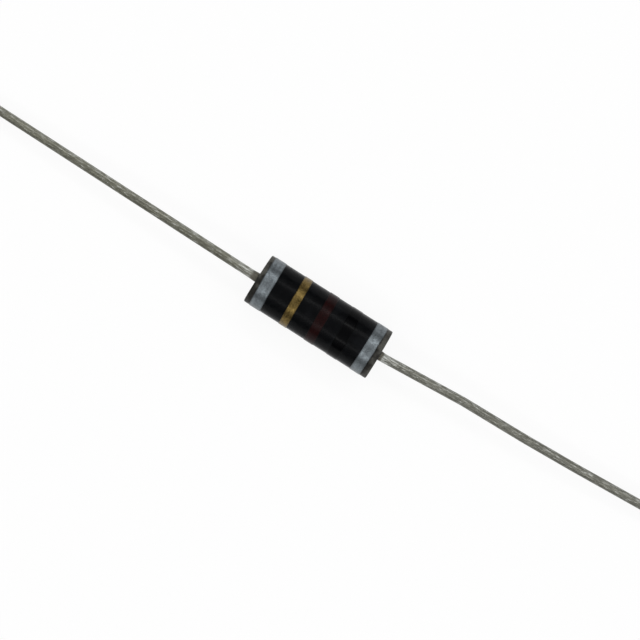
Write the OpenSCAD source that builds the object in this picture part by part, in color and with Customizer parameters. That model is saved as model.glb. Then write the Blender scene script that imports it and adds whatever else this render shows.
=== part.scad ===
// Moulded radio-frequency choke with axial leads, in millimetres.
// X runs along the case, Z is up, and the origin is the middle of the case.
// The choke lies on its bands and on the tips of its leads.

/* [Moulded case] */
// Length between the end faces
case_l = 10.41; // [8.6:0.01:14]
// Diameter of the moulding
case_d = 3.88; // [3.2:0.01:6]
// Rounding of the end edges
case_edge_r = 0.08; // [0.02:0.01:0.3]
// Moulding compound outside the shield sleeve
case_skin = 0.34; // [0.2:0.01:0.45]
// Moulding compound between a solder joint and the end face
end_wall = 0.62; // [0.4:0.01:1]
// Radius of the compound's meniscus round each lead
root_r = 0.14; // [0.05:0.01:0.3]
// Thickness at which the meniscus ends on the lead
root_lip = 0.02; // [0.01:0.01:0.05]

/* [Colour bands] */
// Thickness of the printed ink
band_t = 0.03; // [0.01:0.01:0.06]
// Bare case between the left end face and the first band
start_margin = 0.37; // [0.2:0.01:0.6]
// Width of the first, silver band
silver_start_w = 0.95; // [0.6:0.01:1.1]
// Width of the gold band
gold_w = 0.67; // [0.5:0.01:0.9]
// Gap between the gold and the brown band
gold_gap = 1.47; // [1.2:0.01:1.6]
// Width of the brown band
brown_w = 0.8; // [0.5:0.01:0.9]
// Gap between the brown and the black band
brown_gap = 1.13; // [0.9:0.01:1.3]
// Width of the black band
black_w = 0.89; // [0.5:0.01:0.9]
// How far the three middle bands sit right of centre between the silver ones
middle_shift = 0.2; // [-0.25:0.01:0.25]
// Width of the last, silver band
silver_end_w = 0.86; // [0.5:0.01:1]
// Bare case between the last band and the right end face
end_margin = 0.51; // [0.2:0.01:0.7]
// How far the first four bands lean from square, in degrees
print_lean = 2.2; // [-4:0.1:4]

/* [Leads] */
// Diameter of the tinned lead wire
lead_d = 0.67; // [0.5:0.01:0.85]
// Length of each lead outside the case, along the wire
lead_l = 36.6; // [32:0.1:44]
// Depth of a lead in its socket in the core
socket_depth = 0.6; // [0.4:0.01:0.7]
// Radial clearance of a lead in its socket
socket_gap = 0.015; // [0.01:0.005:0.03]
// Sideways bend of the left lead at the case, in degrees
left_bend = 0.45; // [0.1:0.05:3]
// Sideways bend of the right lead at the case, in degrees
right_bend = 3.85; // [0.1:0.05:5]
// Straight wire from there to the right lead's kink
kink_start = 6.1; // [4:0.1:8]
// Bend back of the kink, in degrees
kink_bend = 2.55; // [0.5:0.05:4]
// Straight wire from the kink to the first soft bend
soft_start = 5; // [3:0.1:8]
// Outward turn of the first soft bend, in degrees
soft_bend = 1.15; // [0.1:0.05:3]
// Straight wire from the first soft bend to the last
last_start = 4.3; // [3:0.1:8]
// Outward turn of the last soft bend, in degrees
last_bend = 0.75; // [0.1:0.05:3]
// Radius of every bend, to the middle of the wire
bend_r = 6; // [3:0.5:12]
// Swelling of the wire where it is bent
bend_swell = 0.005; // [0.005:0.001:0.02]

/* [Coil] */
// Diameter of the enamelled wire
wire_d = 0.32; // [0.2:0.01:0.4]
// Spacing of the turns, before they are shared out over the bobbin
turn_spacing = 0.54; // [0.45:0.01:0.9]
// Turns of wire round each lead
wraps = 1.75; // [1:0.25:2.5]
// Clearance between turns round a lead
wrap_gap = 0.04; // [0.02:0.01:0.1]
// Clearance between the wire and what it is wound on
wire_gap = 0.02; // [0.015:0.005:0.05]
// Angle over which the wire comes in from the bobbin to the lead
run_in = 120; // [90:10:180]

/* [Core and shield] */
// Thickness of each flange of the bobbin
flange_t = 0.8; // [0.75:0.01:1]
// Rim of the flange above the wire
rim_cover = 0.1; // [0.05:0.01:0.2]
// Clearance of the wire in a flange's slot, each side
slot_gap = 0.05; // [0.03:0.01:0.1]
// Chamfer on the edges of the flanges and the sleeve
chamfer = 0.06; // [0.02:0.01:0.1]
// Wall of the shield sleeve
sleeve_wall = 0.38; // [0.25:0.01:0.42]
// Reach of the sleeve past the middle of the wire's run-in
sleeve_cover = 0.01; // [0:0.01:0.3]
// Radial clearance between the core and the sleeve
slip_gap = 0.05; // [0.02:0.01:0.08]

/* [Solder joints] */
// Solder over the wire's wraps
solder_cover = 0.05; // [0.03:0.01:0.08]
// Gap between the core and the solder
solder_gap = 0.12; // [0.05:0.01:0.15]
// Length of a joint's taper down to the lead
solder_taper = 0.3; // [0.1:0.01:0.4]
// Clearance between the joint and its pocket in the case
pocket_gap = 0.02; // [0.01:0.01:0.05]

/* [Hidden] */
case_r = case_d / 2;
lead_r = lead_d / 2;
wire_r = wire_d / 2;

// From the middle outwards across the case: sleeve, core flange and core waist
sleeve_r = case_r - case_skin;
sleeve_bore_r = sleeve_r - sleeve_wall;
flange_r = sleeve_bore_r - slip_gap;
waist_r = flange_r - rim_cover - wire_d - wire_gap;

// Radii of the wire's centre line on the bobbin and on a lead
coil_r = waist_r + wire_gap + wire_r;
wrap_r = lead_r + wire_gap + wire_r;

// The wire turns from along the axis to round it on this radius
wire_bend_r = wire_d;
wrap_pitch = wire_d + wrap_gap;
run_in_l = wrap_pitch * run_in / 360;

// From an end face inwards: end wall, solder joint, core
wrap_end = wire_bend_r + wraps * wrap_pitch;
solder_reach = wrap_end + wire_r + solder_taper;
solder_r = wrap_r + wire_r + solder_cover;
pocket_end = case_l / 2 - end_wall;
core_end = pocket_end - pocket_gap - solder_reach;
sleeve_end = core_end + wire_bend_r + run_in_l / 2 + wire_r + sleeve_cover;
lead_end = core_end - socket_depth;

// The coil fills the bobbin with whole turns, so that both slots are at the top
window = core_end - flange_t;
coil_reach = window - wire_bend_r;
turns = floor(2 * coil_reach / turn_spacing + wire_bend_r / (PI * coil_r));
pitch = 2 * coil_reach / (turns - wire_bend_r / (PI * coil_r));
slot_angle = 90;
bend_sweep = wire_bend_r / coil_r * 180 / PI;

root_h = root_r + root_lip;

// The surface that the choke lies on is this far below its axis
rest_h = case_r + band_t;
// Each lead slopes down by this angle, so that its tip comes down to that surface
droop = asin((rest_h - lead_r) / (lead_l - root_h));

// Colour bands along X
silver_start_x = -case_l / 2 + start_margin;
silver_end_x = case_l / 2 - end_margin - silver_end_w;
middle_w = gold_w + gold_gap + brown_w + brown_gap + black_w;
gold_x = (silver_start_x + silver_start_w + silver_end_x - middle_w) / 2 + middle_shift;
brown_x = gold_x + gold_w + gold_gap;
black_x = brown_x + brown_w + brown_gap;

// Smoothness of round faces, of small round sections and of the wire's sweep
$fn = 96;
small_fn = 48;
step_angle = 18;
wire_sides = 12;
bend_steps = 5;

// ---- Round pieces about the X axis ----

// Turns a section about X: its X is the radius and its Y runs along the axis
module turned() {
    rotate([90, 0, 90])
        rotate_extrude()
            children();
}

module ring(inner_r, outer_r, from, to) {
    turned()
        translate([inner_r, from])
            square([outer_r - inner_r, to - from]);
}

// Half section of a rod of length l with rounded end edges
module rounded_rod_section(r, l, edge_r) {
    translate([0, -l / 2])
        square([r - edge_r, l]);
    translate([0, edge_r - l / 2])
        square([r, l - 2 * edge_r]);
    for (side = [-1, 1])
        translate([r - edge_r, side * (l / 2 - edge_r)])
            circle(edge_r, $fn = small_fn);
}

// Section of a rim from inner_r to outer_r with chamfered outer edges
module rim_section(inner_r, outer_r, from, to) {
    polygon([
        [inner_r, from],
        [outer_r - chamfer, from],
        [outer_r, from + chamfer],
        [outer_r, to - chamfer],
        [outer_r - chamfer, to],
        [inner_r, to]
    ]);
}

// Concave fillet of compound where a lead leaves the case
module meniscus_section() {
    translate([0, case_l / 2])
        difference() {
            square([lead_r + root_h, root_h]);
            translate([lead_r + root_h, root_h])
                circle(root_r, $fn = small_fn);
        }
}

// ---- Case and its print ----

module moulded_case() {
    color([0.06, 0.06, 0.07])
        turned()
            difference() {
                union() {
                    rounded_rod_section(case_r, case_l, case_edge_r);
                    meniscus_section();
                    mirror([0, 1])
                        meniscus_section();
                }
                translate([0, -case_l])
                    square([lead_r, 2 * case_l]);
                translate([0, -pocket_end])
                    square([solder_r + pocket_gap, 2 * pocket_end]);
                translate([0, -sleeve_end])
                    square([sleeve_r, 2 * sleeve_end]);
            }
}

// A thin printed ring, cut off at both edges by planes that lean from square
module band(x, w, lean = print_lean) {
    intersection() {
        ring(case_r, case_r + band_t, -case_l / 2, case_l / 2);
        translate([x + w / 2, 0, 0])
            rotate([0, 0, lean])
                cube([w, 3 * case_r, 3 * case_r], center = true);
    }
}

module band_silver_start() {
    color([0.52, 0.54, 0.56])
        band(silver_start_x, silver_start_w);
}

module band_gold() {
    color([0.5, 0.4, 0.2])
        band(gold_x, gold_w);
}

module band_brown() {
    color([0.22, 0.1, 0.08])
        band(brown_x, brown_w);
}

module band_black() {
    color([0.03, 0.03, 0.03])
        band(black_x, black_w);
}

module band_silver_end() {
    color([0.52, 0.54, 0.56])
        band(silver_end_x, silver_end_w, lean = 0);
}

// ---- Leads ----

function arc_l(angle) = angle * PI / 180 * bend_r;

// Wire along +X made by a bend table. Each row is the feed, the direction of the bend as an
// angle round the wire from +Y, and the bend itself. A last row with no bend ends the wire.
// The straight wire reaches a quarter of the way into the swollen bend at each end.
module bent_wire(table, i = 0) {
    feed = table[i][0];
    direction = table[i][1];
    angle = table[i][2];
    back = i == 0 ? 0 : arc_l(table[i - 1][2]) / 4;
    translate([-back, 0, 0])
        rotate([0, 90, 0])
            cylinder(h = back + feed + arc_l(angle) / 4, r = lead_r, $fn = small_fn);
    if (i + 1 < len(table))
        translate([feed, 0, 0])
            rotate([direction, 0, 0])
                translate([0, bend_r, 0]) {
                    rotate([0, 0, -90])
                        rotate_extrude(angle = angle)
                            translate([bend_r, 0])
                                circle(lead_r + bend_swell, $fn = small_fn);
                    rotate([0, 0, angle])
                        translate([0, -bend_r, 0])
                            rotate([-direction, 0, 0])
                                bent_wire(table, i + 1);
                }
}

// The bend at the case takes a lead sideways by side and down by droop, in one plane
function root_bend(side) = acos(cos(side) * cos(droop));
function root_direction(side) = -atan2(cos(side) * sin(droop), sin(side));

// Straight wire inside the case and through the meniscus, before the first bend
root_feed = case_l / 2 + root_h - lead_end;

module lead_left() {
    left_tail = lead_l - root_h - arc_l(root_bend(left_bend));
    color([0.55, 0.55, 0.5])
        mirror([1, 0, 0])
            translate([lead_end, 0, 0])
                bent_wire([
                    [root_feed, root_direction(left_bend), root_bend(left_bend)],
                    [left_tail, 0, 0]
                ]);
}

module lead_right() {
    bends = root_bend(right_bend) + kink_bend + soft_bend + last_bend;
    right_tail = lead_l - root_h - kink_start - soft_start - last_start - arc_l(bends);
    color([0.55, 0.55, 0.5])
        translate([lead_end, 0, 0])
            bent_wire([
                [root_feed, root_direction(right_bend), root_bend(right_bend)],
                [kink_start, 180, kink_bend],
                [soft_start, 0, soft_bend],
                [last_start, 0, last_bend],
                [right_tail, 0, 0]
            ]);
}

// ---- Core and shield ----

module shield_sleeve() {
    color([0.28, 0.28, 0.3])
        difference() {
            turned()
                rim_section(0, sleeve_r, -sleeve_end, sleeve_end);
            ring(0, sleeve_bore_r, -case_l, case_l);
        }
}

module core() {
    slot_w = wire_d + 2 * slot_gap;
    color([0.4, 0.36, 0.34])
        difference() {
            union() {
                ring(0, waist_r, -core_end, core_end);
                for (side = [0, 1])
                    mirror([side, 0, 0])
                        turned()
                            rim_section(0, flange_r, window, core_end);
            }
            for (side = [0, 1])
                mirror([side, 0, 0]) {
                    ring(0, lead_r + socket_gap, lead_end, case_l);
                    translate([window - chamfer, -slot_w / 2, waist_r])
                        cube([flange_t + 2 * chamfer, slot_w, flange_r]);
                }
        }
}

// ---- Winding: one wire, swept along points [x, angle about X, radius] ----

// Right half of the wire, from the middle of the coil out to its end on the lead
coil_steps = ceil(coil_reach / pitch * 360 / step_angle);
run_in_steps = ceil(wraps * 360 / step_angle);

function coil_point(t) = [
    coil_reach * t,
    slot_angle - bend_sweep - coil_reach / pitch * 360 * (1 - t),
    coil_r
];

// In the unrolled surface the wire turns through a quarter circle into the slot
function into_slot(a) = [
    coil_reach + wire_bend_r * (1 - cos(a)),
    slot_angle - bend_sweep * (1 - sin(a)),
    coil_r
];

// A quarter circle out of the slot, and then round the lead while the radius shrinks
function out_angle(a) = bend_sweep * (1 - cos(a));
function shrink(turned_by) = (1 + cos(180 * min(1, turned_by / run_in))) / 2;
function wire_radius(turned_by) = wrap_r + (coil_r - wrap_r) * shrink(turned_by);
function out_of_slot(a) = [
    core_end + wire_bend_r * sin(a),
    slot_angle + out_angle(a),
    wire_radius(out_angle(a))
];
function round_lead(t) = [
    core_end + wire_bend_r + wraps * wrap_pitch * t,
    slot_angle + bend_sweep + wraps * 360 * t,
    wire_radius(bend_sweep + wraps * 360 * t)
];

half_wire = concat(
    [for (i = [1 : coil_steps]) coil_point(i / coil_steps)],
    [for (i = [1 : bend_steps]) into_slot(90 * i / bend_steps)],
    [for (i = [0 : bend_steps]) out_of_slot(90 * i / bend_steps)],
    [for (i = [1 : run_in_steps]) round_lead(i / run_in_steps)]
);

// The left half is the right half turned over about the middle of the coil
middle_angle = coil_point(0)[1];
other_half = [
    for (i = [len(half_wire) - 1 : -1 : 0])
        [-half_wire[i][0], 2 * middle_angle - half_wire[i][1], half_wire[i][2]]
];
wire_route = concat(other_half, [coil_point(0)], half_wire);

function outward(p) = [0, cos(p[1]), sin(p[1])];
function place(p) = [p[0], 0, 0] + p[2] * outward(p);
function unit(v) = v / norm(v);

// Direction of the wire at route point i, from its neighbours
function heading(i) =
    let (last = len(wire_route) - 1)
    unit(place(wire_route[min(i + 1, last)]) - place(wire_route[max(i - 1, 0)]));

// Ring of points round the wire at route point i, with its outer half raised by lift
function wire_ring(i, lift) =
    let (
        p = wire_route[i],
        along = heading(i),
        out = unit(outward(p) - (outward(p) * along) * along),
        across = cross(along, out)
    )
    [
        for (k = [0 : wire_sides - 1])
            let (a = 360 * (k + 0.5) / wire_sides, raised = cos(a) > 0 ? lift : 0)
            place(p) + (wire_r * cos(a) + raised) * out + wire_r * sin(a) * across
    ];

// Closed tube through the wire's rings from route point first to route point last. As a notch
// it is raised as much as the wire still has to come in, so that nothing is left above the wire.
module wire_tube(first, last, notch = false) {
    rings = last - first;
    points = [
        for (i = [first : last])
            each wire_ring(i, notch ? wire_route[i][2] - wrap_r : 0)
    ];
    sides = [
        for (i = [0 : rings - 1], k = [0 : wire_sides - 1])
            let (next = (k + 1) % wire_sides, base = i * wire_sides)
            [base + k, base + wire_sides + k, base + wire_sides + next, base + next]
    ];
    start_cap = [for (k = [0 : wire_sides - 1]) k];
    end_cap = [for (k = [wire_sides - 1 : -1 : 0]) rings * wire_sides + k];
    polyhedron(points, concat([start_cap], sides, [end_cap]), convexity = 10);
}

module winding() {
    color([0.6, 0.25, 0.12])
        wire_tube(0, len(wire_route) - 1);
}

// ---- Solder joints ----

// Steps of the wire's route from the slot's inner end to the wire's end on the lead
tail_steps = run_in_steps + bend_steps + 1;

// Bead round a lead's wraps, with a notch for the wire from route point first to last
module solder_bead(first, last) {
    start = core_end + solder_gap;
    end = core_end + solder_reach;
    difference() {
        mirror([first == 0 ? 1 : 0, 0, 0])
            turned()
                polygon([
                    [lead_r, start],
                    [solder_r - chamfer, start],
                    [solder_r, start + chamfer],
                    [solder_r, end - solder_taper],
                    [lead_r + root_lip, end],
                    [lead_r, end]
                ]);
        wire_tube(first, last, notch = true);
    }
}

module solder_left() {
    color([0.7, 0.7, 0.68])
        solder_bead(0, tail_steps);
}

module solder_right() {
    last = len(wire_route) - 1;
    color([0.7, 0.7, 0.68])
        solder_bead(last - tail_steps, last);
}

moulded_case();
band_silver_start();
band_gold();
band_brown();
band_black();
band_silver_end();
lead_left();
lead_right();
shield_sleeve();
core();
winding();
solder_left();
solder_right();
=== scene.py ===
"""Moulded axial-lead choke: case, printed bands, tinned leads and the coil, over the packed model."""

import math

import bpy
import numpy as np
from bpy.props import FloatProperty, FloatVectorProperty, IntProperty, PointerProperty
from bpy.types import Operator, Panel, PropertyGroup
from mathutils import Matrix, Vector


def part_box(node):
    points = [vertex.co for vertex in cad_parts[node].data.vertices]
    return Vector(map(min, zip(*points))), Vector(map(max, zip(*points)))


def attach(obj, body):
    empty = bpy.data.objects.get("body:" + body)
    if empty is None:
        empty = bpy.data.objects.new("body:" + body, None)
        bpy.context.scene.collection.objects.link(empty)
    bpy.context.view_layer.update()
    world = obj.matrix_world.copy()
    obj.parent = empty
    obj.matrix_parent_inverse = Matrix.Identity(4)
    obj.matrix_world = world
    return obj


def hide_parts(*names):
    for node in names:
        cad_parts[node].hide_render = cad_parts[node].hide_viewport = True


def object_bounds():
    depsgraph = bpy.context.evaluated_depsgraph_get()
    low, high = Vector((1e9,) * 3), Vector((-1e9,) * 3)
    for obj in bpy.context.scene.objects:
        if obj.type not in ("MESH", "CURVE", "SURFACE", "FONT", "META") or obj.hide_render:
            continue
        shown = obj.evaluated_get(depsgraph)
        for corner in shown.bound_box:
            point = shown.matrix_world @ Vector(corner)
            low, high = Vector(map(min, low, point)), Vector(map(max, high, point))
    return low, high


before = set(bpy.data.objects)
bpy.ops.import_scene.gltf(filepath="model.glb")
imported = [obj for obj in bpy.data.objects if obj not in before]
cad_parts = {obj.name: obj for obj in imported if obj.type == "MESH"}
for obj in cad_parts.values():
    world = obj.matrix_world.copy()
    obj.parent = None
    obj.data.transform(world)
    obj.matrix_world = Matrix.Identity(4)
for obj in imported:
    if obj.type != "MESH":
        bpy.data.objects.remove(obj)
CAD_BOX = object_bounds()

bl_info = {
    "name": "Moulded choke",
    "version": (1, 0, 0),
    "blender": (4, 5, 0),
    "location": "View3D > Sidebar > Choke",
    "description": "Builds a moulded axial-lead choke with printed bands, and a stage for it",
    "category": "Add Mesh",
}

MM = 0.001
ROUND = 2 * math.pi

# How far a piece may reach past the box of the CAD node that it stands for
SPARE = 0.06 * MM

# Parts of the case's section: what is inside, the outer skin, an end face and the compound round a lead
INSIDE, SKIN, FACE, MENISCUS = 0.0, 1.0, 2.0, 3.0

# The span that most values of a noise fall in
MOST = (0.3, 0.7)

# Bands from the left: CAD node, slot in the record, name of the paint, and if it leans with the print
BANDS = (
    ("band_silver_start", "silver_ink", "silver", True),
    ("band_gold", "gold_ink", "gold", True),
    ("band_brown", "brown_ink", "brown", True),
    ("band_black", "black_ink", "black", True),
    ("band_silver_end", "silver_ink", "silver", False),
)

# How each ink looks: how metallic and how rough it is, the size of its flakes in millimetres, how much
# they sparkle, how far its tone strays, and its specular level
PAINTS = {
    "silver": dict(metallic=1.0, roughness=0.37, flake=0.045, sparkle=0.30, mottle=0.28, level=0.5),
    "gold": dict(metallic=1.0, roughness=0.33, flake=0.05, sparkle=0.50, mottle=0.50, level=0.5),
    "brown": dict(metallic=0.0, roughness=0.28, flake=0.05, sparkle=0.30, mottle=0.35, level=0.065),
    "black": dict(metallic=0.0, roughness=0.11, flake=0.05, sparkle=0.20, mottle=0.25, level=0.045),
}

# Distance of the lamps from the middle of the case, in metres
LAMP_DISTANCE = 0.3


# ---- Properties ----


def size(name, description, mm):
    """A length property whose default is given in millimetres."""
    return FloatProperty(
        name=name, description=description, default=mm * MM, min=0.0, unit="LENGTH", precision=5
    )


def bend(name, description, degrees):
    """An angle property whose default is given in degrees."""
    return FloatProperty(name=name, description=description, default=math.radians(degrees), subtype="ANGLE")


def glow(name, description, value):
    """A brightness property, where 1 is white."""
    return FloatProperty(name=name, description=description, default=value, min=0.0)


def colour(name, description, rgb):
    """A linear colour property."""
    return FloatVectorProperty(
        name=name, description=description, default=rgb, min=0.0, max=1.0, subtype="COLOR"
    )


class CHOKE_case(PropertyGroup):
    """Sizes and colours of the moulded case"""

    length: size("Length", "Distance between the end faces", 10.41)
    diameter: size("Diameter", "Diameter of the moulding", 3.88)
    edge: size("Edge radius", "Rounding of the end edges", 0.08)
    meniscus: size("Meniscus", "Height and reach of the compound round each lead", 0.16)
    clearance: size("Pocket clearance", "Room between a solder joint and its pocket", 0.02)
    ripple: size("Ripple", "Depth of the slow unevenness of the moulded skin", 0.004)
    parting: size("Parting line", "Height of the line that the mould's halves leave", 0.005)
    slant: bend("End slant", "How far the right end face is out of square", 1.5)
    body: colour("Body", "Colour of the compound", (0.0021, 0.0023, 0.0027))
    ends: colour("Ends", "Colour of the bare compound at the ends", (0.0275, 0.0268, 0.0238))


class CHOKE_ink(PropertyGroup):
    """Sizes and colours of the printed bands"""

    thickness: size("Thickness", "Thickness of the ink", 0.03)
    wander: size("Edge wander", "How far a band's edge strays", 0.025)
    lean: bend("Lean", "How far the first four bands lean from square", 2.2)
    silver: colour("Silver", "Colour of the silver ink", (0.147, 0.166, 0.178))
    gold: colour("Gold", "Colour of the gold ink", (0.126, 0.087, 0.029))
    brown: colour("Brown", "Colour of the red-brown ink", (0.0094, 0.0018, 0.0018))
    black: colour("Black", "Colour of the black ink", (0.0010, 0.0010, 0.0013))


class CHOKE_leads(PropertyGroup):
    """Sizes and colours of the tinned leads"""

    diameter: size("Diameter", "Diameter of the wire", 0.67)
    length: size("Length", "Length of each lead outside the case, along the wire", 36.6)
    socket: size("Socket", "Depth of a lead in its socket in the core", 0.6)
    radius: size("Bend radius", "Radius of every bend, to the middle of the wire", 6.0)
    left: bend("Left bend", "Sideways bend of the left lead at the case", 0.45)
    right: bend("Right bend", "Sideways bend of the right lead at the case", 3.85)
    to_kink: size("To the kink", "Straight wire from the case to the right lead's kink", 6.1)
    kink: bend("Kink", "Bend back of the right lead's kink", 2.55)
    to_soft: size("To the first soft bend", "Straight wire after the kink", 5.0)
    soft: bend("First soft bend", "Outward turn of the first soft bend", 1.15)
    to_last: size("To the last bend", "Straight wire after the first soft bend", 4.3)
    last: bend("Last bend", "Outward turn of the last bend", 0.75)
    dents: size("Dents", "Depth of the slow unevenness of the wire", 0.004)
    film_left: size("Left film", "How far a film of compound creeps out along the left lead", 0.75)
    film_right: size("Right film", "How far a film of compound creeps out along the right lead", 0.3)
    film_height: size("Film height", "Thickness of that film where it leaves the case", 0.04)
    tin: colour("Tin", "Colour of the tinned surface", (0.172, 0.171, 0.140))
    scuff: colour("Scuffs", "Colour of the tin where it is scuffed bright", (0.52, 0.53, 0.50))
    film: colour("Film", "Colour of the film of compound", (0.105, 0.098, 0.074))


class CHOKE_coil(PropertyGroup):
    """Sizes and colours of the coil and what it is wound on"""

    wire: size("Wire diameter", "Diameter of the enamelled wire", 0.32)
    coil: size("Coil radius", "Radius of the coil's centre line", 0.91)
    wrap: size("Wrap radius", "Radius of the wraps' centre line on a lead", 0.515)
    pitch_gap: size("Wrap clearance", "Clearance between the turns round a lead", 0.04)
    flange: size("Flange", "Thickness of each flange of the bobbin", 0.8)
    turns: IntProperty(name="Turns", description="Turns of the coil", default=7, min=1)
    wraps: FloatProperty(name="Wraps", description="Turns of wire round each lead", default=1.75, min=0.25)
    run_in: bend("Run-in", "Angle over which the wire comes in from the bobbin to the lead", 120)
    copper: colour("Copper", "Colour of the enamelled wire", (0.42, 0.13, 0.05))
    iron: colour("Powdered iron", "Colour of the core", (0.105, 0.098, 0.092))
    ferrite: colour("Ferrite", "Colour of the shield sleeve", (0.035, 0.035, 0.038))
    solder: colour("Solder", "Colour of the solder joints", (0.52, 0.52, 0.50))


class CHOKE_stage(PropertyGroup):
    """Camera, floor and light"""

    lens: FloatProperty(
        name="Lens", description="Focal length in millimetres",
        default=150.0, min=1.0, subtype="DISTANCE_CAMERA",
    )
    width: size("View width", "Width of what the camera sees at the case's axis", 46.21)
    turn: bend("Turn", "How far the camera is turned about the upright axis", 32.5)
    aim_right: size("Aim right", "How far the camera aims to the right of the case's middle", 0.08)
    aim_down: size("Aim down", "How far the camera aims below the case's middle", 0.228)
    tilt: bend("Strip tilt", "Angle of each strip light from upright, across the case", 37)
    strips: glow("Strips", "Brightness of the strip lights beside the case", 3.4)
    boxes: glow("Soft boxes", "Brightness of the soft boxes past the ends of the case", 1.2)
    overhead: glow("Overhead", "Brightness of the ceiling", 0.88)
    boost: FloatProperty(
        name="Floor white", description="Share of plain white that the eye sees in the floor",
        default=0.9, min=0.0, max=1.0, subtype="FACTOR",
    )


# ---- Surfaces ----


def about_x(x, radius, angle):
    """Points at a radius from the X axis: Y is the radius times the cosine of the angle, and Z is it
    times the sine."""
    x, radius, angle = np.broadcast_arrays(x, radius, angle)
    return np.stack([x, radius * np.cos(angle), radius * np.sin(angle)], axis=-1)


def ring_angles(count):
    """Even angles round a ring, as one row."""
    return np.linspace(0, ROUND, count, endpoint=False)[None, :]


def bell(distance, width):
    """A bell curve, 1 in the middle: the exponential of minus the square of the distance over the width."""
    return np.exp(-((distance / width) ** 2))


def grid_faces(rows, columns, closed_rows):
    """Quads between neighbouring points of a grid numbered row by row. Columns close on themselves,
    rows if asked."""
    row = np.arange(rows if closed_rows else rows - 1)[:, None] * columns
    below = (row + columns) % (rows * columns)
    column = np.arange(columns)[None, :]
    right = (column + 1) % columns
    return np.stack([row + column, row + right, below + right, below + column], axis=-1).reshape(-1, 4)


def fan_faces(ring, pole):
    """Triangles from each edge of a closed ring of point numbers to the pole."""
    return np.stack([ring, np.roll(ring, -1), np.full_like(ring, pole)], axis=-1)


def enclosed(points, quads, triangles):
    """Volume that the faces enclose: a sixth of the sum, over the triangles, of one corner dotted with
    the cross product of the other two."""
    thirds = np.concatenate([quads[:, [0, 1, 2]], quads[:, [0, 2, 3]], triangles])
    a, b, c = (points[thirds[:, k]] for k in range(3))
    return float(np.einsum("ij,ij->i", a, np.cross(b, c)).sum()) / 6


def solid(name, grid, closed_rows, material, node, attributes=None):
    """A closed piece from a grid of points whose columns run round it. Open rows end in a pole at the
    middle of the first and the last ring. It stands for the CAD node, and its faces are turned over if
    they enclose less than nothing. A pole takes the attributes of a point of its ring."""
    rows, columns = grid.shape[:2]
    points = grid.reshape(-1, 3)
    quads = grid_faces(rows, columns, closed_rows)
    triangles = np.zeros((0, 3), int)
    if not closed_rows:
        first = np.arange(columns)
        last = first + (rows - 1) * columns
        poles = np.stack([points[first].mean(0), points[last].mean(0)])
        count = len(points)
        points = np.concatenate([points, poles])
        triangles = np.concatenate([fan_faces(first[::-1], count), fan_faces(last, count + 1)])
    if enclosed(points, quads, triangles) < 0:
        quads, triangles = quads[:, ::-1], triangles[:, ::-1]

    mesh = bpy.data.meshes.new(name)
    corners = np.concatenate([quads.ravel(), triangles.ravel()]).astype(np.int32)
    starts = np.concatenate([np.arange(len(quads)) * 4, 4 * len(quads) + np.arange(len(triangles)) * 3])
    mesh.vertices.add(len(points))
    mesh.vertices.foreach_set("co", points.astype(np.float32).ravel())
    mesh.loops.add(len(corners))
    mesh.loops.foreach_set("vertex_index", corners)
    mesh.polygons.add(len(starts))
    mesh.polygons.foreach_set("loop_start", starts.astype(np.int32))
    mesh.update(calc_edges=True)
    if mesh.validate():
        raise RuntimeError(f"{name} has faces that Blender had to mend")
    mesh.shade_smooth()
    for label, values in (attributes or {}).items():
        flat = values.reshape(rows * columns, -1)
        kind, field = ("FLOAT", "value") if flat.shape[1] == 1 else ("FLOAT_VECTOR", "vector")
        if not closed_rows:
            flat = np.concatenate([flat, flat[[0, -1]]])
        mesh.attributes.new(label, kind, "POINT").data.foreach_set(field, flat.astype(np.float32).ravel())
    mesh.materials.append(material)

    piece = bpy.data.objects.new(name, mesh)
    bpy.context.scene.collection.objects.link(piece)
    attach(piece, "root")
    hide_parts(node)
    low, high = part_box(node)
    if (points.min(0) < np.array(low) - SPARE).any() or (points.max(0) > np.array(high) + SPARE).any():
        raise RuntimeError(f"{name} reaches outside its CAD node {node}")
    return piece


def waves(seed, turns, fade, *where):
    """Sum of sines from -1 to 1. Each has a whole number of turns round the piece, a drawn phase, and a
    height that falls as its number to the power fade. Each further array in where adds its own drawn
    number of waves to every sine."""
    draw = np.random.default_rng(seed)
    angle, others = where[0], where[1:]
    total, most = 0.0, 0.0
    for number in turns:
        phase = draw.uniform(0, ROUND)
        along = sum(draw.uniform(-1, 1) * other for other in others)
        height = max(number, 1) ** -fade
        total = total + height * np.sin(number * angle + along + phase)
        most += height
    return total / most


# ---- Case ----


def round_angles(count=156, close_count=15, strip=0.05):
    """Angles round the case: even ones but for a strip at each side, where the mould parts and close
    ones stand in."""
    even = np.linspace(0, ROUND, count, endpoint=False)
    close = np.linspace(-0.9 * strip, 0.9 * strip, close_count)
    return np.sort(np.concatenate([even[abs(np.sin(even)) > strip], close % ROUND, close + math.pi]))


def skin(sizes, x, angle):
    """Height of the case's real skin over its plain radius: a slow ripple that only goes inwards, and
    the parting line, a narrow ridge at both sides whose height falls as a bell with the distance from
    the parting plane."""
    ripple_length, ridge_width = 0.45 * MM, 0.018 * MM
    along = x / ripple_length
    ripple = waves(11, (0, 1, 2, 3, 5), 0.4, angle, along, 0.4 * along)
    ridge = bell(sizes.diameter / 2 * np.sin(angle), ridge_width)
    return sizes.ripple * (ripple - 1) / 2 + sizes.parting * ridge


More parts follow.
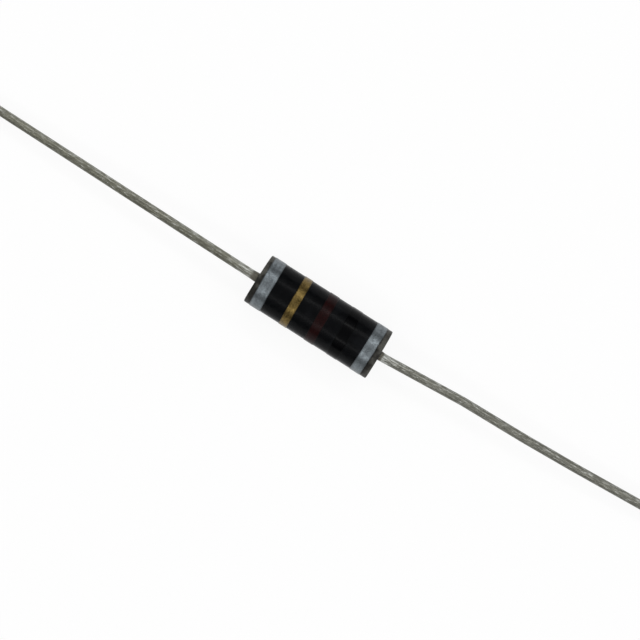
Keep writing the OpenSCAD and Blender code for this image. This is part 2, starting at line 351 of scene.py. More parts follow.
def case_section(sizes, lead_radius, pocket_radius, pocket_end, sleeve_radius, sleeve_end):
    """Right half of the case's section as x, radius and part of the section, from the middle of the
    outside round to the sleeve's end inside. The edge is a quarter circle. The meniscus is a hollow arc
    a little short of a quarter circle, which leaves the face without a step and thins out along the
    lead."""
    half, radius, edge, rise = sizes.length / 2, sizes.diameter / 2, sizes.edge, sizes.meniscus
    skin_rows, edge_rows, face_rows, meniscus_rows = 130, 8, 22, 12
    rim_gap, face_gap, root_gap = 0.03 * MM, 0.1 * MM, 0.05 * MM
    root, hollow_sweep = lead_radius + rise, math.radians(84)
    turned = np.linspace(0, math.pi / 2, edge_rows + 1)[1:]
    face = np.linspace(radius - edge - face_gap, root + root_gap, face_rows)
    hollow = np.linspace(0, hollow_sweep, meniscus_rows)
    inside_x = [half + rise * (1 - math.cos(hollow_sweep)), pocket_end, pocket_end, sleeve_end, sleeve_end]
    inside_radius = [lead_radius, lead_radius, pocket_radius, pocket_radius, sleeve_radius]
    parts = (
        ((half - edge) * np.linspace(0, 1, skin_rows), radius, SKIN),
        (half - edge + edge * np.sin(turned), radius - edge + edge * np.cos(turned), SKIN),
        (half, np.append(radius - edge - rim_gap, face), FACE),
        (half + rise * (1 - np.cos(hollow)), root - rise * np.sin(hollow), MENISCUS),
        (inside_x, inside_radius, INSIDE),
    )
    return np.concatenate([np.stack(np.broadcast_arrays(*part)) for part in parts], axis=1)


class CHOKE_OT_case(Operator):
    """Build the moulded case, hollow for the coil, with its parting line and a meniscus round each lead"""

    bl_idname = "choke.build_case"
    bl_label = "Case"

    def execute(self, context):
        sizes, leads = context.scene.choke_case, context.scene.choke_leads
        case_radius, case_end, lead_radius = sizes.diameter / 2, sizes.length / 2, leads.diameter / 2
        joint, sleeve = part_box("solder_right")[1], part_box("shield_sleeve")[1]
        pocket_radius, pocket_end = joint.z + sizes.clearance, joint.x + sizes.clearance
        half = case_section(sizes, lead_radius, pocket_radius, pocket_end, sleeve.z, sleeve.x)
        left = half[:, ::-1] * np.array([[-1], [1], [1]])
        section = np.concatenate([half, left[:, :-1]], axis=1)
        x, radius, part = (row[:, None] for row in section)
        angle = round_angles()[None, :]

        # The outside has the skin's ripple and parting line
        lift = skin(sizes, x, angle) * (part == SKIN)
        side = np.sign(x)
        # An end face sinks a little between the rim and the lead, and the parting line crosses it lower
        sink_depth, ridge_height, ridge_width = 0.012 * MM, 0.6 * sizes.parting, 0.02 * MM
        across = np.clip((radius - lead_radius) / (case_radius - lead_radius), 0, 1)
        sink = sink_depth * np.sin(math.pi * across) * (1 + 0.5 * waves(5, (1, 2, 3), 0.5, angle, side))
        ridge = ridge_height * bell(radius * np.sin(angle), ridge_width)
        inward = (sink - ridge) * (part == FACE)
        # The meniscus climbs unevenly round the lead, and up to half of its height is lacking
        lacking = 0.25 * (1 + waves(23, (1, 2, 3, 4), 0.6, angle, side))
        beyond = np.maximum(abs(x) - case_end, 0) * (part == MENISCUS)
        x = x - side * (inward + beyond * lacking)
        # The right end face is out of square: it falls back towards +Y, from nothing at -Y, and so does
        # the skin near it
        fall_reach = 0.4 * MM
        fall = np.clip((x - case_end) / fall_reach + 1, 0, 1) * (part != INSIDE) * math.tan(sizes.slant)
        x = x - fall * (case_radius + radius * np.cos(angle))
        grid = about_x(x, radius + lift, angle)
        solid("case_shell", grid, True, moulding_material(sizes), "moulded_case")
        return {"FINISHED"}


# ---- Bands ----


def band_grid(sizes, ink, low, high, lean, seed):
    """A ring of ink as a closed loop of rows. Across its width w, from -1 to 1, its thickness is t
    times the square root of 1 - w^8, so it is flat with rounded shoulders. It stays inside its node, so
    it lies thinner over the parting line. Its middle leans by the tangent of the lean times Y, and each
    edge strays sideways as a sum of sines round the case."""
    columns, rows, inner_step, sunk = 384, 45, 4, 0.002 * MM
    edge_waves = (1, 2, 3, 4, 5, 6, 7, 8, 11, 14, 18, 23, 29, 37)
    angle = ring_angles(columns)
    across = np.sin(np.linspace(-math.pi / 2, math.pi / 2, rows))[:, None]
    radius, slope = sizes.diameter / 2, math.tan(lean)
    stray = [ink.wander * waves(seed + k, edge_waves, 0.45, angle) for k in (0, 1)]
    middle, half = (low.x + high.x) / 2, (high.x - low.x) / 2 - (radius + ink.thickness) * slope
    most = min(high.y, high.z, -low.y, -low.z)
    x = middle - slope * radius * np.cos(angle) + half * across
    x = x + ((1 - across) * stray[0] + (1 + across) * stray[1]) / 2
    coat = 1 - 0.06 * (1 + waves(seed + 2, (2, 5, 9, 17), 0.3, angle, across * 4))
    thick = ink.thickness * coat * np.sqrt(np.maximum(1 - across ** 8, 0))
    base = radius + skin(sizes, x, angle)
    outer = about_x(x, np.minimum(base + thick, most), angle)
    inner = about_x(x[::inner_step], (base - sunk)[::inner_step], angle)[::-1]
    edge = np.concatenate([np.broadcast_to(abs(across), x.shape), np.ones_like(inner[..., 0])])
    return np.concatenate([outer, inner]), edge


class CHOKE_OT_bands(Operator):
    """Print the five colour bands"""

    bl_idname = "choke.build_bands"
    bl_label = "Colour bands"

    def execute(self, context):
        sizes, ink = context.scene.choke_case, context.scene.choke_ink
        for number, (node, slot, paint, leans) in enumerate(BANDS):
            low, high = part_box(node)
            grid, edge = band_grid(sizes, ink, low, high, ink.lean if leans else 0.0, 100 + 10 * number)
            material = ink_material(slot, getattr(ink, paint), **PAINTS[paint])
            solid(node.replace("band", "ink"), grid, True, material, node, {"ink_edge": edge})
        return {"FINISHED"}


# ---- Leads ----


def bent_line(start, rows, radius, step):
    """Points, headings and distances along a wire that is fed straight and bent in turn. Each row is
    the feed, the direction of the bend as an angle round the wire from +Y, and the bend, an arc of the
    radius in that plane."""
    place, axes = np.array(start, float), np.eye(3)
    points, headings, distances = [], [], []
    gone = 0.0
    for feed, direction, angle in rows:
        count = max(int(math.ceil(feed / step)), 2)
        along = np.linspace(0, feed, count, endpoint=False)[:, None]
        points.append(place + along * axes[0])
        headings.append(np.repeat(axes[:1], count, axis=0))
        distances.append(gone + along[:, 0])
        place, gone = place + feed * axes[0], gone + feed
        if angle == 0:
            break
        side = math.cos(direction) * axes[1] + math.sin(direction) * axes[2]
        count = max(int(math.ceil(radius * angle / (step / 3))), 6)
        turned = np.linspace(0, angle, count, endpoint=False)[:, None]
        points.append(place + radius * (np.sin(turned) * axes[0] + (1 - np.cos(turned)) * side))
        headings.append(np.cos(turned) * axes[0] + np.sin(turned) * side)
        distances.append(gone + radius * turned[:, 0])
        place = place + radius * (math.sin(angle) * axes[0] + (1 - math.cos(angle)) * side)
        gone += radius * angle
        pole = np.cross(axes[0], side)
        cross, kept = np.cross(pole, axes), np.outer(axes @ pole, pole)
        axes = axes * math.cos(angle) + cross * math.sin(angle) + kept * (1 - math.cos(angle))
    points.append(place[None])
    headings.append(axes[:1])
    distances.append(np.array([gone]))
    return np.concatenate(points), np.concatenate(headings), np.concatenate(distances)


def lead_rows(leads, case, side):
    """The bend table of one lead. The bend at the case takes it sideways and down, so that its tip
    comes to the surface that the choke lies on: the drop over the length is the sine of the slope."""
    rest, root = -CAD_BOX[0].z, case.meniscus
    droop = math.asin((rest - leads.diameter / 2) / (leads.length - root))
    sideways = leads.left if side < 0 else leads.right
    first = math.acos(math.cos(sideways) * math.cos(droop))
    direction = -math.atan2(math.cos(sideways) * math.sin(droop), math.sin(sideways))
    inside = case.length / 2 + root - (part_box("core")[1].x - leads.socket)
    rows = [(inside, direction, first)]
    if side > 0:
        rows += [
            (leads.to_kink, math.pi, leads.kink),
            (leads.to_soft, 0.0, leads.soft),
            (leads.to_last, 0.0, leads.last),
        ]
    used = sum(feed for feed, _, _ in rows[1:]) + leads.radius * sum(angle for _, _, angle in rows)
    return rows + [(leads.length - root - used, 0.0, 0.0)]


def rings_round(points, headings, radius, angle, lean):
    """Rings of the radius round each point, square to its heading. The first direction of a ring is
    lean made square to the heading, and the second is the cross product of the two."""
    first = lean - np.sum(lean * headings, axis=1, keepdims=True) * headings
    first /= np.linalg.norm(first, axis=1, keepdims=True)
    second = np.cross(headings, first)
    return points[:, None] + radius[..., None] * (
        np.cos(angle)[..., None] * first[:, None] + np.sin(angle)[..., None] * second[:, None]
    )


def lead_grid(leads, case, side, exit_at, film):
    """A lead as rings along its bent line, and each point's distance along the wire and place across
    it. The radius strays inwards by a slow sum of sines, and past the case it grows by the film's
    height times (1 - d) squared, where d is the distance from the case over the film's reach, and the
    film comes in over the first tenth of its reach. The tip is sheared: its edge rolls over on a
    quarter ellipse, and its face leans back as the cutter left it."""
    columns, step, short_wave, long_wave = 40, 0.12 * MM, 0.6 * MM, 2.2 * MM
    film_start, roll_rows, face_rows = 0.1, 6, 9
    start = (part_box("core")[1].x - leads.socket, 0, 0)
    points, headings, along = bent_line(start, lead_rows(leads, case, side), leads.radius, step)
    angle = ring_angles(columns)
    far = along[:, None]
    dents = waves(31 + side, (0, 1, 2, 3, 4), 0.5, angle, far / short_wave, far / long_wave)
    radius = leads.diameter / 2 - leads.dents * (1 + dents) / 2
    outside = (along - exit_at) / film
    thinning, start_share = np.clip(1 - outside, 0, 1) ** 2, np.clip(outside / film_start, 0, 1)
    radius += (leads.film_height * thinning * start_share)[:, None]

    # The end of the wire makes room for the tip's rings: the rolled edge, then the face to the middle
    trimmed, roll_length, roll_share = 0.06 * MM, 0.055 * MM, 0.09
    roll = np.linspace(0, math.pi / 2, roll_rows + 1)[1:]
    face = np.linspace(0.9, 0.05, face_rows)
    shrink = np.concatenate([1 - roll_share * (1 - np.cos(roll)), face])[:, None]
    back = np.concatenate([roll_length * (1 - np.sin(roll)), np.zeros(len(face))])
    kept = along < along[-1] - trimmed
    points = np.concatenate([points[kept], points[-1] - back[:, None] * headings[-1]])
    radius = np.concatenate([radius[kept], shrink * radius[-1]])
    headings = np.concatenate([headings[kept], np.repeat(headings[-1:], len(back), axis=0)])
    along = np.concatenate([along[kept], along[-1] - back])
    grid = rings_round(points, headings, radius, angle, np.array([0.0, 0.0, 1.0]))
    shear_depth, shear_way = 0.035 * MM, 1.9
    growing = np.linspace(0, 1, len(back))[:, None]
    shear = np.zeros(grid.shape[:2])
    shear[-len(back):] = shear_depth * (1 + shrink * np.cos(angle - shear_way)) * growing
    grid = grid - shear[..., None] * headings[:, None]

    return grid * np.array([side, 1, 1]), about_x(along[:, None], radius, angle)


class CHOKE_OT_leads(Operator):
    """Draw the two tinned leads, bent as they lie, with sheared tips"""

    bl_idname = "choke.build_leads"
    bl_label = "Leads"

    def execute(self, context):
        case, leads = context.scene.choke_case, context.scene.choke_leads
        exit_at = case.length / 2 - (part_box("core")[1].x - leads.socket)
        for where, side, film in (("left", -1, leads.film_left), ("right", 1, leads.film_right)):
            material = tin_material(leads, f"tinned_wire_{where}", side, exit_at, film)
            grid, wire = lead_grid(leads, case, side, exit_at, film)
            places, node = {"wire_place": wire}, f"lead_{where}"
            solid(f"tinned_lead_{where}", grid, False, material, node, places)
        return {"FINISHED"}


# ---- Coil ----


def half_route(coil, core_end):
    """Right half of the winding as x, angle round the core and radius, from the coil's middle to its
    end on the lead. The coil is a helix; a quarter circle on the unrolled surface turns it into the
    flange's slot at the top, another takes it out, and round the lead its radius falls from the coil's
    to the wraps' on half a cosine."""
    coil_rows, corner_rows, wrap_rows = 220, 10, 109
    top = math.pi / 2
    corner = coil.wire
    sweep = corner / coil.coil
    reach = core_end - coil.flange - corner
    pitch = 2 * reach / (coil.turns - corner / (math.pi * coil.coil))
    wrap_pitch = coil.wire + coil.pitch_gap
    share = np.linspace(0, 1, coil_rows)
    helix_angle = top - sweep - reach / pitch * ROUND * (1 - share)
    helix = [reach * share, helix_angle, np.full(coil_rows, coil.coil)]
    bent = np.linspace(0, math.pi / 2, corner_rows + 1)[1:]
    into_x, into_angle = reach + corner * (1 - np.cos(bent)), top - sweep * (1 - np.sin(bent))
    into = [into_x, into_angle, np.full(corner_rows, coil.coil)]
    through = [[core_end], [top], [coil.coil]]
    share = np.linspace(0, 1, wrap_rows + 1)[1:]
    out = [core_end + corner * np.sin(bent), top + sweep * (1 - np.cos(bent))]
    wraps_x = core_end + corner + coil.wraps * wrap_pitch * share
    wraps = [wraps_x, top + sweep + coil.wraps * ROUND * share]
    tail_x, tail_angle = np.concatenate([out, wraps], axis=1)
    fall = (1 + np.cos(math.pi * np.minimum((tail_angle - top) / coil.run_in, 1))) / 2
    tail = [tail_x, tail_angle, coil.wrap + (coil.coil - coil.wrap) * fall]
    return np.concatenate([helix, into, through, tail], axis=1)


class CHOKE_OT_winding(Operator):
    """Wind the enamelled wire from one lead, round the bobbin, to the other lead"""

    bl_idname = "choke.build_winding"
    bl_label = "Winding"

    def execute(self, context):
        coil = context.scene.choke_coil
        right = half_route(coil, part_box("core")[1].x)
        left = right[:, :0:-1] * np.array([[-1], [-1], [1]]) + np.array([[0], [2 * right[1, 0]], [0]])
        x, angle, radius = np.concatenate([left, right], axis=1)
        points = about_x(x, radius, angle)
        headings = np.gradient(points, axis=0)
        headings /= np.linalg.norm(headings, axis=1, keepdims=True)
        outward = about_x(np.zeros_like(x), np.ones_like(x), angle)
        columns, radii = 20, np.full((len(x), 1), coil.wire / 2)
        grid = rings_round(points, headings, radii, ring_angles(columns), outward)
        material = copper_material(coil.copper)
        solid("copper_winding", grid, False, material, "winding")
        return {"FINISHED"}


def give_finish(nodes, material):
    """The material becomes the only one of each CAD node, whose shape stays."""
    for node in nodes:
        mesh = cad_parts[node].data
        mesh.materials.clear()
        mesh.materials.append(material)


class CHOKE_OT_core(Operator):
    """Finish the powdered-iron bobbin, whose CAD shape stays"""

    bl_idname = "choke.finish_core"
    bl_label = "Core"

    def execute(self, context):
        iron = context.scene.choke_coil.iron
        give_finish(["core"], grain_material("powdered_iron", iron, grain_size=0.05, roughness=0.62))
        return {"FINISHED"}


class CHOKE_OT_sleeve(Operator):
    """Finish the ferrite shield sleeve, whose CAD shape stays"""

    bl_idname = "choke.finish_sleeve"
    bl_label = "Shield sleeve"

    def execute(self, context):
        ferrite = context.scene.choke_coil.ferrite
        give_finish(["shield_sleeve"], grain_material("ferrite", ferrite, grain_size=0.02, roughness=0.45))
        return {"FINISHED"}


class CHOKE_OT_solder(Operator):
    """Finish the two solder joints, whose CAD shapes stay"""

    bl_idname = "choke.finish_solder"
    bl_label = "Solder joints"

    def execute(self, context):
        give_finish(["solder_left", "solder_right"], solder_material(context.scene.choke_coil.solder))
        return {"FINISHED"}


# ---- Materials ----


def connect(tree, node, inputs):
    """Sets inputs of a node, by name or number: a socket is linked, and any other value is put there."""
    for name, value in inputs.items():
        if isinstance(value, bpy.types.NodeSocket):
            tree.links.new(value, node.inputs[name])
        else:
            node.inputs[name].default_value = value


def add(tree, kind, inputs=None, **settings):
    """A new shader node with its inputs and settings."""
    node = tree.nodes.new(kind)
    for name, value in settings.items():
        setattr(node, name, value)
    connect(tree, node, inputs or {})
    return node


def new_material(name):
    """An empty material with a Principled shader on its output: the material, its tree and the shader."""
    material = bpy.data.materials.new(name)
    material.use_nodes = True
    tree = material.node_tree
    tree.nodes.clear()
    shader = add(tree, "ShaderNodeBsdfPrincipled")
    add(tree, "ShaderNodeOutputMaterial", {"Surface": shader.outputs[0]})
    return material, tree, shader


def object_place(tree, stretch=(1.0, 1.0, 1.0)):
    """Object coordinates in millimetres, stretched along each axis."""
    place = add(tree, "ShaderNodeTexCoord").outputs["Object"]
    scale = [1 / (MM * s) for s in stretch]
    return add(tree, "ShaderNodeMapping", {"Vector": place, "Scale": scale}).outputs[0]


def grain(tree, place, grain_size, detail=2.0, rough=0.5):
    """Noise from 0 to 1 whose grains are about grain_size in the place's unit."""
    inputs = {"Vector": place, "Scale": 1 / grain_size, "Detail": detail, "Roughness": rough}
    return add(tree, "ShaderNodeTexNoise", inputs).outputs["Fac"]


def scaled(tree, value, low, high, new_low, new_high, smooth=False):
    """The value moved from one range to another, and clamped there."""
    kind = "SMOOTHSTEP" if smooth else "LINEAR"
    inputs = {"Value": value, "From Min": low, "From Max": high, "To Min": new_low, "To Max": new_high}
    return add(tree, "ShaderNodeMapRange", inputs, interpolation_type=kind).outputs[0]


def worked(tree, operation, first, second=0.0):
    """What a Math operation makes of two values."""
    return add(tree, "ShaderNodeMath", {0: first, 1: second}, operation=operation).outputs[0]


def sum_of(tree, first, second):
    """Two values added."""
    return worked(tree, "ADD", first, second)


def times(tree, value, factor):
    """A value multiplied by a factor."""
    return worked(tree, "MULTIPLY", value, factor)


def blended(tree, share, first, second):
    """Two colours mixed: the share is how much of the second one shows. The Mix node has its factor at
    input 0, its colours at 6 and 7 and their mix at output 2."""
    inputs = {0: share}
    for number, given in ((6, first), (7, second)):
        inputs[number] = given if isinstance(given, bpy.types.NodeSocket) else (*given[:3], 1.0)
    return add(tree, "ShaderNodeMix", inputs, data_type="RGBA").outputs[2]


def shaded(rgb, factor):
    """A colour made lighter or darker by a factor."""
    return tuple(min(channel * factor, 1.0) for channel in rgb[:3])


def relief(tree, height, depth, strength=1.0, under=None):
    """A bump of the depth, in metres, over another one if given."""
    inputs = {"Height": height, "Distance": depth, "Strength": strength}
    if under is not None:
        inputs["Normal"] = under
    return add(tree, "ShaderNodeBump", inputs).outputs[0]


def moulding_material(sizes):
    """Glossy black compound: cloudy, with a fine orange peel and pits. Past the outer bands it is bare, and
    paler in blotches. Painted light makes the bare ends paler towards +Y and the right end, and the body a
    little greyer towards the right."""
    material, tree, shader = new_material("moulding")
    place = object_place(tree)
    part = add(tree, "ShaderNodeSeparateXYZ", {"Vector": place}).outputs
    cloud = grain(tree, place, 0.35, detail=3.0)
    broad = grain(tree, place, 1.1)
    blotch = grain(tree, place, 0.8, rough=0.6)
    rag = grain(tree, place, 0.28, detail=3.0, rough=0.6)
    fine = grain(tree, place, 0.05, detail=4.0, rough=0.6)

    # Black compound, greyer where dust lies in blotches, and greyer towards the right by painted light
    half = sizes.length / MM / 2
    dust_and_painted_light = sum_of(tree, broad, scaled(tree, part["X"], -half, half, -0.12, 0.12))
    dust_and_painted_light_share = scaled(tree, dust_and_painted_light, 0.45, 0.80, 0.0, 1.0, smooth=True)
    plain = blended(tree, cloud, shaded(sizes.body, 0.7), shaded(sizes.body, 1.4))
    body = blended(tree, dust_and_painted_light_share, plain, shaded(sizes.body, 2.4))

    # Bare ends, from a ragged line on: dark or pale grit, by the blotches and by painted light
    bare_from, bare_full, raggedness = half - 0.50, half - 0.18, 0.3
    ragged = sum_of(tree, worked(tree, "ABSOLUTE", part["X"]), times(tree, rag, raggedness))
    bare_share = scaled(tree, ragged, bare_from, bare_full, 0.0, 1.0, smooth=True)
    grit = scaled(tree, fine, *MOST, 0.0, 1.0)
    darker = blended(tree, grit, shaded(sizes.ends, 0.3), shaded(sizes.ends, 1.0))
    paler = blended(tree, grit, shaded(sizes.ends, 1.7), shaded(sizes.ends, 3.2))
    # Painted light: the bare ends grow paler towards +Y and towards the right end
    sideways = scaled(tree, part["Y"], -half / 3, half / 3, -0.32, 0.30)
    towards = sum_of(tree, sideways, scaled(tree, part["X"], -half, half, -0.07, 0.07))
    blotches = sum_of(tree, broad, times(tree, blotch, 1.8))
    pale_and_painted_light_share = scaled(tree, sum_of(tree, blotches, towards), 1.15, 1.75, 0.0, 1.0, smooth=True)
    ends = blended(tree, pale_and_painted_light_share, darker, paler)

    smoothest, roughest, bare_extra = 0.19, 0.30, 0.1
    peel_depth, pit_depth = 0.02 * MM, 0.0012 * MM
    rough = scaled(tree, cloud, *MOST, smoothest, roughest)
    peel = relief(tree, grain(tree, place, 0.42), peel_depth)
    pits = scaled(tree, fine, 0.25, 0.42, 0.0, 1.0)
    connect(tree, shader, {
        "Base Color": blended(tree, bare_share, body, ends),
        "Roughness": sum_of(tree, rough, times(tree, bare_share, bare_extra)),
        "Specular IOR Level": 0.042,
        "Normal": relief(tree, pits, pit_depth, strength=0.6, under=peel),
    })
    return material


def ink_material(name, rgb, metallic, roughness, flake, sparkle, mottle, level):
    """Printed ink: mottled where the coat varies, streaked round the case as the printing wheel left
    it, with flakes that sparkle or look dull, and thin and dark along its edges."""
    material, tree, shader = new_material(name)
    place = object_place(tree)
    clouds = grain(tree, place, 0.30, detail=4.0, rough=0.62)
    streaks = grain(tree, object_place(tree, stretch=(0.18, 1.6, 1.6)), 1.0, detail=3.0)
    coat = sum_of(tree, times(tree, clouds, 0.7), times(tree, streaks, 0.3))
    flakes = add(tree, "ShaderNodeTexVoronoi", {"Vector": place, "Scale": 1 / flake}).outputs
    speck = add(tree, "ShaderNodeSeparateColor", {"Color": flakes["Color"]}).outputs[0]

    dull_flake, bright_flake, thin_ink = shaded(rgb, 0.35), shaded(rgb, 2.2), shaded(rgb, 0.12)
    thickness = scaled(tree, coat, 0.36, 0.64, 0.0, 1.0)
    tone = blended(tree, thickness, shaded(rgb, 1 - mottle), shaded(rgb, 1 + mottle))
    tone = blended(tree, scaled(tree, speck, 0.0, 0.35, sparkle, 0.0), tone, dull_flake)
    tone = blended(tree, scaled(tree, speck, 0.7, 1.0, 0.0, sparkle), tone, bright_flake)
    edge = add(tree, "ShaderNodeAttribute", attribute_name="ink_edge").outputs["Fac"]
    uneven_edge = sum_of(tree, edge, times(tree, clouds, 0.22))
    worn_from, worn_to, most_worn = 0.88, 1.16, 0.85
    worn = scaled(tree, uneven_edge, worn_from, worn_to, 0.0, most_worn, smooth=True)

    lump_depth, flake_depth = 0.010 * MM, 0.0015 * MM
    lumps = relief(tree, coat, lump_depth)
    connect(tree, shader, {
        "Base Color": blended(tree, worn, tone, thin_ink),
        "Metallic": metallic,
        "Roughness": scaled(tree, coat, *MOST, roughness + 0.08, roughness - 0.05),
        "Specular IOR Level": level,
        "Normal": relief(tree, speck, flake_depth, strength=0.7, under=lumps),
    })
    return material


def tin_material(leads, name, side, exit_at, reach):
    """Dull tinned copper: lines drawn along the wire, patches where the tin lies thicker, painted light on
    its +Y side, bright scuffs that crowd near the case and towards +Y, and a brown film of compound that
    creeps out to the reach from where the wire leaves the case. Each lead has its own pattern, and the left
    one is a little darker and yellower, but for its painted light on the +Y side, which is stronger."""
    material, tree, shader = new_material(name)
    wire = add(tree, "ShaderNodeAttribute", attribute_name="wire_place").outputs["Vector"]
    part = add(tree, "ShaderNodeSeparateXYZ", {"Vector": wire}).outputs

    def wire_grain(lengthwise, crosswise, detail, rough=0.5, grain_size=1.0):
        """Noise on the wire, with so many waves to the millimetre along it and across it."""
        scale = [lengthwise / MM, crosswise / MM, crosswise / MM]
        inputs = {"Vector": wire, "Location": (side * 5, 0, 0), "Scale": scale}
        place = add(tree, "ShaderNodeMapping", inputs).outputs[0]
        return grain(tree, place, grain_size, detail, rough)

    lines = wire_grain(0.42, 20, detail=3.0, rough=0.6)
    patches = wire_grain(2.4, 7, detail=3.0, rough=0.6)
    scratches = wire_grain(1.2, 8, detail=4.0, rough=0.65, grain_size=0.8)
    stretches = wire_grain(0.2, 0, detail=2.0)

    # Tin, darker in patches, lines and long stretches, and lighter on its +Y side by painted light
    tint_share = (0.09, 0.09, 0.13)
    tin = [channel * (1 + share * side) for channel, share in zip(leads.tin, tint_share)]
    tone = blended(tree, scaled(tree, patches, *MOST, 0.0, 1.0), shaded(tin, 0.6), shaded(tin, 1.35))
    tone = blended(tree, scaled(tree, lines, 0.35, 0.65, 0.0, 0.5), tone, shaded(tin, 0.5))
    tone = blended(tree, scaled(tree, stretches, *MOST, 0.0, 0.35), tone, shaded(tin, 0.55))
    # Painted light: the +Y side of the wire is lighter, far more on the left lead
    most_painted_light = 0.5 if side < 0 else 0.12
    painted_light_full, painted_light_from = 0.02 * leads.diameter, 0.14 * leads.diameter
    ragged_lit_side = sum_of(tree, part["Z"], times(tree, lines, 0.4 * leads.diameter))
    lighter = scaled(tree, ragged_lit_side, painted_light_full, painted_light_from, most_painted_light, 0.0, smooth=True)
    tone = blended(tree, lighter, tone, shaded(leads.tin, 1.5))

    # Scuffs show where the scratches, the handling near the case and a share that grows towards +Y add up
    handled_near, handled_far = 0.2 * MM, 3.0 * MM
    outside = worked(tree, "SUBTRACT", part["X"], exit_at)
    handled = scaled(tree, outside, handled_near, handled_far, 0.14, 0.0, smooth=True)
    more_towards_plus_y = scaled(tree, part["Z"], -leads.diameter / 2, 0.0, 0.09, 0.0)
    scuff = sum_of(tree, sum_of(tree, scratches, handled), more_towards_plus_y)
    tone = blended(tree, scaled(tree, scuff, 0.54, 0.76, 0.0, 0.9, smooth=True), tone, leads.scuff)

    # The film of compound ends in a ragged line, and hides the metal
    film_full, film_end, raggedness = 0.35 * reach, 0.8 * reach, 0.35 * reach
    ragged = worked(tree, "SUBTRACT", outside, times(tree, patches, raggedness))
    film = scaled(tree, ragged, film_full, film_end, 1.0, 0.0, smooth=True)

    line_depth, patch_depth = 0.004 * MM, 0.014 * MM
    drawn = relief(tree, lines, line_depth, strength=0.8)
    connect(tree, shader, {
        "Base Color": blended(tree, film, tone, leads.film),
        "Metallic": scaled(tree, film, 0.0, 1.0, 0.75, 0.25),
        "Roughness": scaled(tree, patches, *MOST, 0.55, 0.40),
        "Normal": relief(tree, patches, patch_depth, strength=0.8, under=drawn),
    })
    return material


def copper_material(rgb):
    """Copper under clear enamel, with a slightly uneven tone along the wire."""
    material, tree, shader = new_material("enamelled_copper")
    tone = grain(tree, object_place(tree), 0.3)
    connect(tree, shader, {
        "Base Color": blended(tree, tone, shaded(rgb, 0.75), shaded(rgb, 1.2)),
        "Metallic": 1.0,
        "Roughness": 0.28,
        "Coat Weight": 1.0,
        "Coat Roughness": 0.08,
        "Normal": relief(tree, tone, 0.003 * MM),
    })
    return material


def grain_material(name, rgb, grain_size, roughness):
    """Pressed or fired powder: fine grains of light and dark, and a rough skin."""
    material, tree, shader = new_material(name)
    grains = grain(tree, object_place(tree), grain_size, detail=4.0, rough=0.7)
    light = scaled(tree, grains, *MOST, 0.0, 1.0)
    connect(tree, shader, {
        "Base Color": blended(tree, light, shaded(rgb, 0.6), shaded(rgb, 1.5)),
        "Roughness": roughness,
        "Normal": relief(tree, grains, 0.006 * MM),
    })
    return material


def solder_material(rgb):
    """Solder that froze with a slightly crystalline, rippled skin."""
    material, tree, shader = new_material("solder")
    ripples = grain(tree, object_place(tree), 0.12, detail=3.0)
    connect(tree, shader, {
        "Base Color": blended(tree, ripples, shaded(rgb, 0.8), shaded(rgb, 1.1)),
        "Metallic": 1.0,
        "Roughness": scaled(tree, ripples, *MOST, 0.22, 0.4),
        "Normal": relief(tree, ripples, 0.01 * MM),
    })
    return material


# ---- Stage ----


def floor_material(boost):
    """Pale matt board. The eye, and what reflects, also see a share of plain white in it; the rest
    keeps the shadow."""
    material, tree, shader = new_material("pale_board")
    fibres = grain(tree, object_place(tree), 0.6, detail=3.0)
    board = blended(tree, fibres, (0.83, 0.83, 0.83), (0.86, 0.86, 0.86))
    connect(tree, shader, {"Base Color": board, "Roughness": 0.9, "Specular IOR Level": 0.0})
    path = add(tree, "ShaderNodeLightPath").outputs
    mirrored = worked(tree, "MAXIMUM", path["Is Glossy Ray"], path["Is Transmission Ray"])
    seen = worked(tree, "MAXIMUM", path["Is Camera Ray"], mirrored)
    white = add(tree, "ShaderNodeEmission", {"Color": (1, 1, 1, 1), "Strength": 1.0}).outputs[0]
    share = times(tree, seen, boost)
    mix = add(tree, "ShaderNodeMixShader", {0: share, 1: shader.outputs[0], 2: white}).outputs[0]
    output = next(node for node in tree.nodes if node.type == "OUTPUT_MATERIAL")
    connect(tree, output, {"Surface": mix})
    return material


def studio_world(overhead):
    """A room that is white at the height of the floor and dark above that, under a broad soft ceiling
    that is dimmer at its middle. The brightness is a function of how far up each direction points."""
    world = bpy.data.worlds.new("studio")
    bpy.context.scene.world = world
    world.use_nodes = True
    tree = world.node_tree
    tree.nodes.clear()
    ways = add(tree, "ShaderNodeTexCoord").outputs["Generated"]
    up = add(tree, "ShaderNodeSeparateXYZ", {"Vector": ways}).outputs["Z"]
    horizon = scaled(tree, up, 0.10, 0.20, 1.0, 0.06, smooth=True)
    ceiling = scaled(tree, up, 0.30, 0.80, 0.0, overhead, smooth=True)
    opening = scaled(tree, up, 0.88, 0.98, 1.0, 0.6, smooth=True)
    tone = sum_of(tree, horizon, times(tree, ceiling, opening))
    shade = add(tree, "ShaderNodeBackground", {"Color": (1, 1, 1, 1), "Strength": tone})
    add(tree, "ShaderNodeOutputWorld", {"Surface": shade.outputs[0]})


def soft_box(name, azimuth, tilt, brightness, across, along):
    """A rectangular lamp that faces the case from a tilt from upright. Its power is its brightness
    times pi times its area."""
    lamp = bpy.data.lights.new(name, "AREA")
    lamp.shape = "RECTANGLE"
    lamp.size, lamp.size_y = along, across
    lamp.energy = brightness * math.pi * along * across
    light = bpy.data.objects.new(name, lamp)
    away = Vector((math.sin(tilt) * math.cos(azimuth), math.sin(tilt) * math.sin(azimuth), math.cos(tilt)))
    light.location = LAMP_DISTANCE * away
    light.rotation_euler = away.to_track_quat("Z", "Y").to_euler()
    bpy.context.scene.collection.objects.link(light)


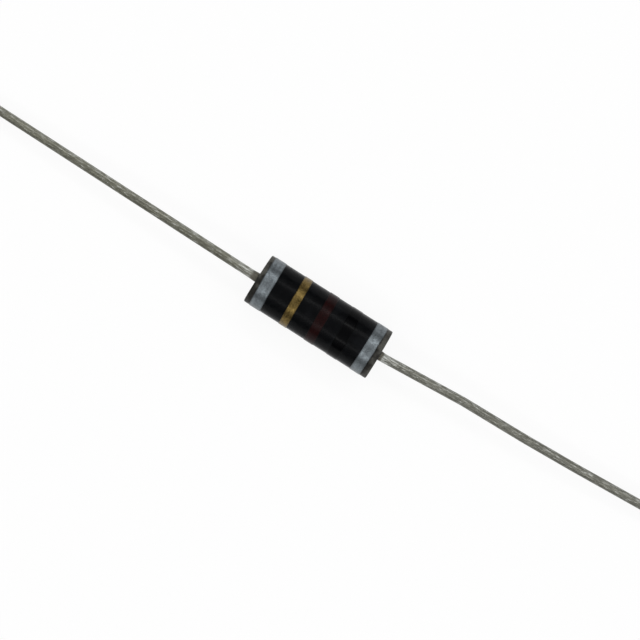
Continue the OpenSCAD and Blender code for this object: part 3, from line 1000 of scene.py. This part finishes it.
class CHOKE_OT_stage(Operator):
    """Set the floor, the light and the camera"""

    bl_idname = "choke.set_stage"
    bl_label = "Stage"

    def execute(self, context):
        scene, stage = context.scene, context.scene.choke_stage
        reach, near_share, far_clip = 3.0, 0.02, 20.0
        corners = [(-reach, -reach), (reach, -reach), (reach, reach), (-reach, reach)]
        mesh = bpy.data.meshes.new("floor")
        mesh.from_pydata([(x, y, CAD_BOX[0].z) for x, y in corners], [], [(0, 1, 2, 3)])
        mesh.materials.append(floor_material(stage.boost))
        floor = bpy.data.objects.new("floor", mesh)
        scene.collection.objects.link(floor)

        studio_world(stage.overhead)
        # The back strip is the brighter one
        front, back, narrow, long = 0.85 * stage.strips, 1.15 * stage.strips, 0.04, 0.5
        soft_box("strip_front", -math.pi / 2, stage.tilt, front, narrow, long)
        soft_box("strip_back", math.pi / 2, stage.tilt, back, narrow, long)
        box_tilt, box_side = math.radians(52), 0.2
        soft_box("box_left", math.pi, box_tilt, stage.boxes, box_side, box_side)
        soft_box("box_right", 0.0, box_tilt, stage.boxes, box_side, box_side)

        camera = bpy.data.cameras.new("camera")
        camera.lens = stage.lens
        distance = stage.lens / camera.sensor_width * stage.width
        camera.clip_start, camera.clip_end = distance * near_share, far_clip
        view = bpy.data.objects.new("camera", camera)
        right = Vector((math.cos(stage.turn), math.sin(stage.turn), 0))
        down = Vector((math.sin(stage.turn), -math.cos(stage.turn), 0))
        view.location = stage.aim_right * right + stage.aim_down * down + Vector((0, 0, distance))
        view.rotation_euler = (0, 0, stage.turn)
        scene.collection.objects.link(view)
        scene.camera = view
        scene.view_settings.view_transform = "Standard"
        return {"FINISHED"}


# ---- Panel and registration ----


OPERATORS = (
    CHOKE_OT_stage,
    CHOKE_OT_case,
    CHOKE_OT_bands,
    CHOKE_OT_leads,
    CHOKE_OT_winding,
    CHOKE_OT_core,
    CHOKE_OT_sleeve,
    CHOKE_OT_solder,
)
GROUPS = {
    "choke_case": CHOKE_case,
    "choke_ink": CHOKE_ink,
    "choke_leads": CHOKE_leads,
    "choke_coil": CHOKE_coil,
    "choke_stage": CHOKE_stage,
}


class CHOKE_PT_panel(Panel):
    """Sizes, colours and build steps of the choke"""

    bl_label = "Moulded choke"
    bl_space_type = "VIEW_3D"
    bl_region_type = "UI"
    bl_category = "Choke"

    def draw(self, context):
        for name, group in GROUPS.items():
            box = self.layout.box()
            box.label(text=group.__doc__)
            for field in group.__annotations__:
                box.prop(getattr(context.scene, name), field)
        for operator in OPERATORS:
            self.layout.operator(operator.bl_idname)


def register():
    """Register the property groups, operators and panel."""
    for name, group in GROUPS.items():
        bpy.utils.register_class(group)
        setattr(bpy.types.Scene, name, PointerProperty(type=group))
    for thing in (*OPERATORS, CHOKE_PT_panel):
        bpy.utils.register_class(thing)


def unregister():
    """Take them off again."""
    for thing in reversed((*OPERATORS, CHOKE_PT_panel)):
        bpy.utils.unregister_class(thing)
    for name, group in GROUPS.items():
        delattr(bpy.types.Scene, name)
        bpy.utils.unregister_class(group)


def main():
    """Build the choke and its stage."""
    register()
    bpy.ops.choke.set_stage()
    bpy.ops.choke.build_case()
    bpy.ops.choke.build_bands()
    bpy.ops.choke.build_leads()
    bpy.ops.choke.build_winding()
    bpy.ops.choke.finish_core()
    bpy.ops.choke.finish_sleeve()
    bpy.ops.choke.finish_solder()


if __name__ == "__main__":
    main()
